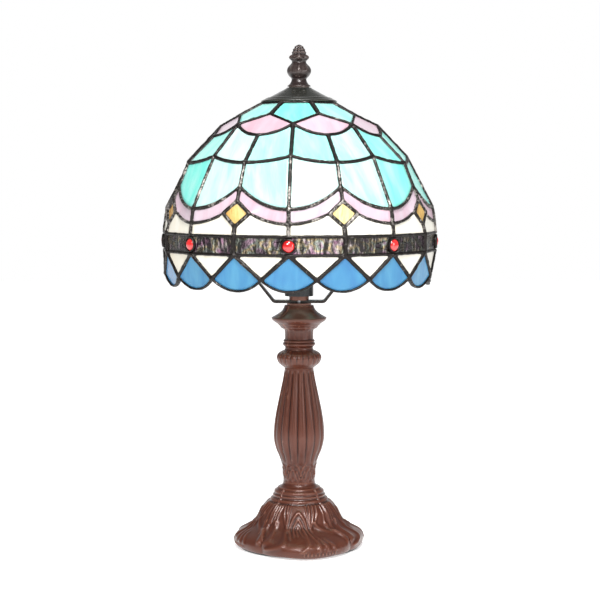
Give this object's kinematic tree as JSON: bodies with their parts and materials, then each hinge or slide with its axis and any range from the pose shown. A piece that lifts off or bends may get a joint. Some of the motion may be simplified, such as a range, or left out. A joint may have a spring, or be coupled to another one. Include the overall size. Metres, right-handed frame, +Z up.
{
  "type": "table lamp",
  "caption": "Small table lamp: domed shade of leaded art glass on a steel harp, above a fluted bronze-painted column with a leafy bell foot.",
  "frame": {"origin": "centre of the felt face that the foot stands on", "axes": "+Z up along the column; the front faces -Y; the harp lies in the XZ plane; the cable inlet faces +Y"},
  "size_m": [0.2018, 0.2018, 0.37],
  "materials": {
    "felt": "glued felt",
    "zinc_steel": "zinc plated",
    "bronze_paint": "satin brown bronze paint, worn lighter on raised edges",
    "black_plastic": "moulded thermosetting plastic",
    "harp_steel": "brown painted strip steel",
    "brass": "turned brass",
    "holder_ceramic": "unglazed",
    "opal_glass": "opal, lit from inside",
    "bulb_metal": "rolled thread",
    "bulb_insulation": "black vitrite",
    "clear_glass": "clear",
    "filament": "tungsten wire",
    "red_glass": "pressed, polished",
    "solder": "tin solder with dark patina",
    "aqua_glass": "wispy opalescent",
    "pink_glass": "wispy opalescent",
    "cream_glass": "opalescent",
    "ripple_glass": "dark iridescent ripple",
    "blue_glass": "wispy opalescent",
    "amber_glass": "hammered, streaky"
  },
  "bodies": {
    "base": {"bottom_cover": "zinc_steel", "cable_inlet_sleeve": "black_plastic", "capital_casting": "bronze_paint", "capital_washer": "zinc_steel", "centre_contact": "brass", "clamp_nut": "zinc_steel", "clamp_washer": "zinc_steel", "column_casting": "bronze_paint", "felt_pad": "felt", "foot_casting": "bronze_paint", "gadroon_collar": "bronze_paint", "harp_locknut": "bronze_paint", "harp_strip": "harp_steel", "harp_stud": "brass", "holder_base": "black_plastic", "holder_core": "holder_ceramic", "holder_screw_shell": "brass", "holder_shell": "black_plastic", "stud_nuts": "brass", "terminal_screws": "brass", "threaded_tube": "zinc_steel"},
    "shade_carrier": {"rest_washer": "brass"},
    "shade": {"glass_band": "ripple_glass", "glass_crown": "aqua_glass", "glass_diamond": "amber_glass", "glass_hem": "cream_glass", "glass_leaf": "pink_glass", "glass_scallop": "blue_glass", "glass_swag": "pink_glass", "glass_tier_high": "aqua_glass", "glass_tier_low": "aqua_glass", "glass_triangle": "cream_glass", "came_band_bottom": "solder", "came_band_top": "solder", "came_diamond_frames": "solder", "came_hem_line": "solder", "came_leaf_arcs": "solder", "came_peak_line": "solder", "came_ribs": "solder", "came_rim": "solder", "came_swag_line": "solder", "came_tier_line": "solder", "came_top_ring": "solder", "came_zigzag": "solder", "jewels": "red_glass", "jewel_bezels": "solder", "vase_cap": "bronze_paint", "shade_support_ring": "brass"},
    "finial_carrier": {"finial_washer": "brass"},
    "finial": {"finial": "bronze_paint"},
    "bulb_carrier": {"bulb_eyelet": "bulb_metal"},
    "bulb": {"bulb_envelope": "opal_glass", "bulb_screw_cap": "bulb_metal", "bulb_insulator": "bulb_insulation", "bulb_stem": "clear_glass", "bulb_filament": "filament"}
  },
  "joints": [
    {"name": "shade_lift", "type": "slide", "parent": "base", "child": "shade_carrier", "axis": [0, 0, 1], "range_m": [0, 0.16]},
    {"name": "shade_turn", "type": "hinge", "parent": "shade_carrier", "child": "shade", "pos_m": [0, 0, 0.337], "axis": [0, 0, 1], "continuous": true},
    {"name": "finial_lift", "type": "slide", "parent": "shade", "child": "finial_carrier", "axis": [0, 0, 1], "range_m": [0, 0.00752]},
    {"name": "finial_turn", "type": "hinge", "parent": "finial_carrier", "child": "finial", "pos_m": [0, 0, 0.34], "axis": [0, 0, 1], "range_deg": [0, 2895]},
    {"name": "bulb_lift", "type": "slide", "parent": "base", "child": "bulb_carrier", "axis": [0, 0, 1], "range_m": [0, 0.01128]},
    {"name": "bulb_turn", "type": "hinge", "parent": "bulb_carrier", "child": "bulb", "pos_m": [0, 0, 0.22], "axis": [0, 0, 1], "range_deg": [0, 1448]}
  ],
  "couplings": [
    {"joint": "finial_turn", "follows": "finial_lift", "rad_per_m": 6684.2},
    {"joint": "bulb_turn", "follows": "bulb_lift", "rad_per_m": 2228.1}
  ]
}
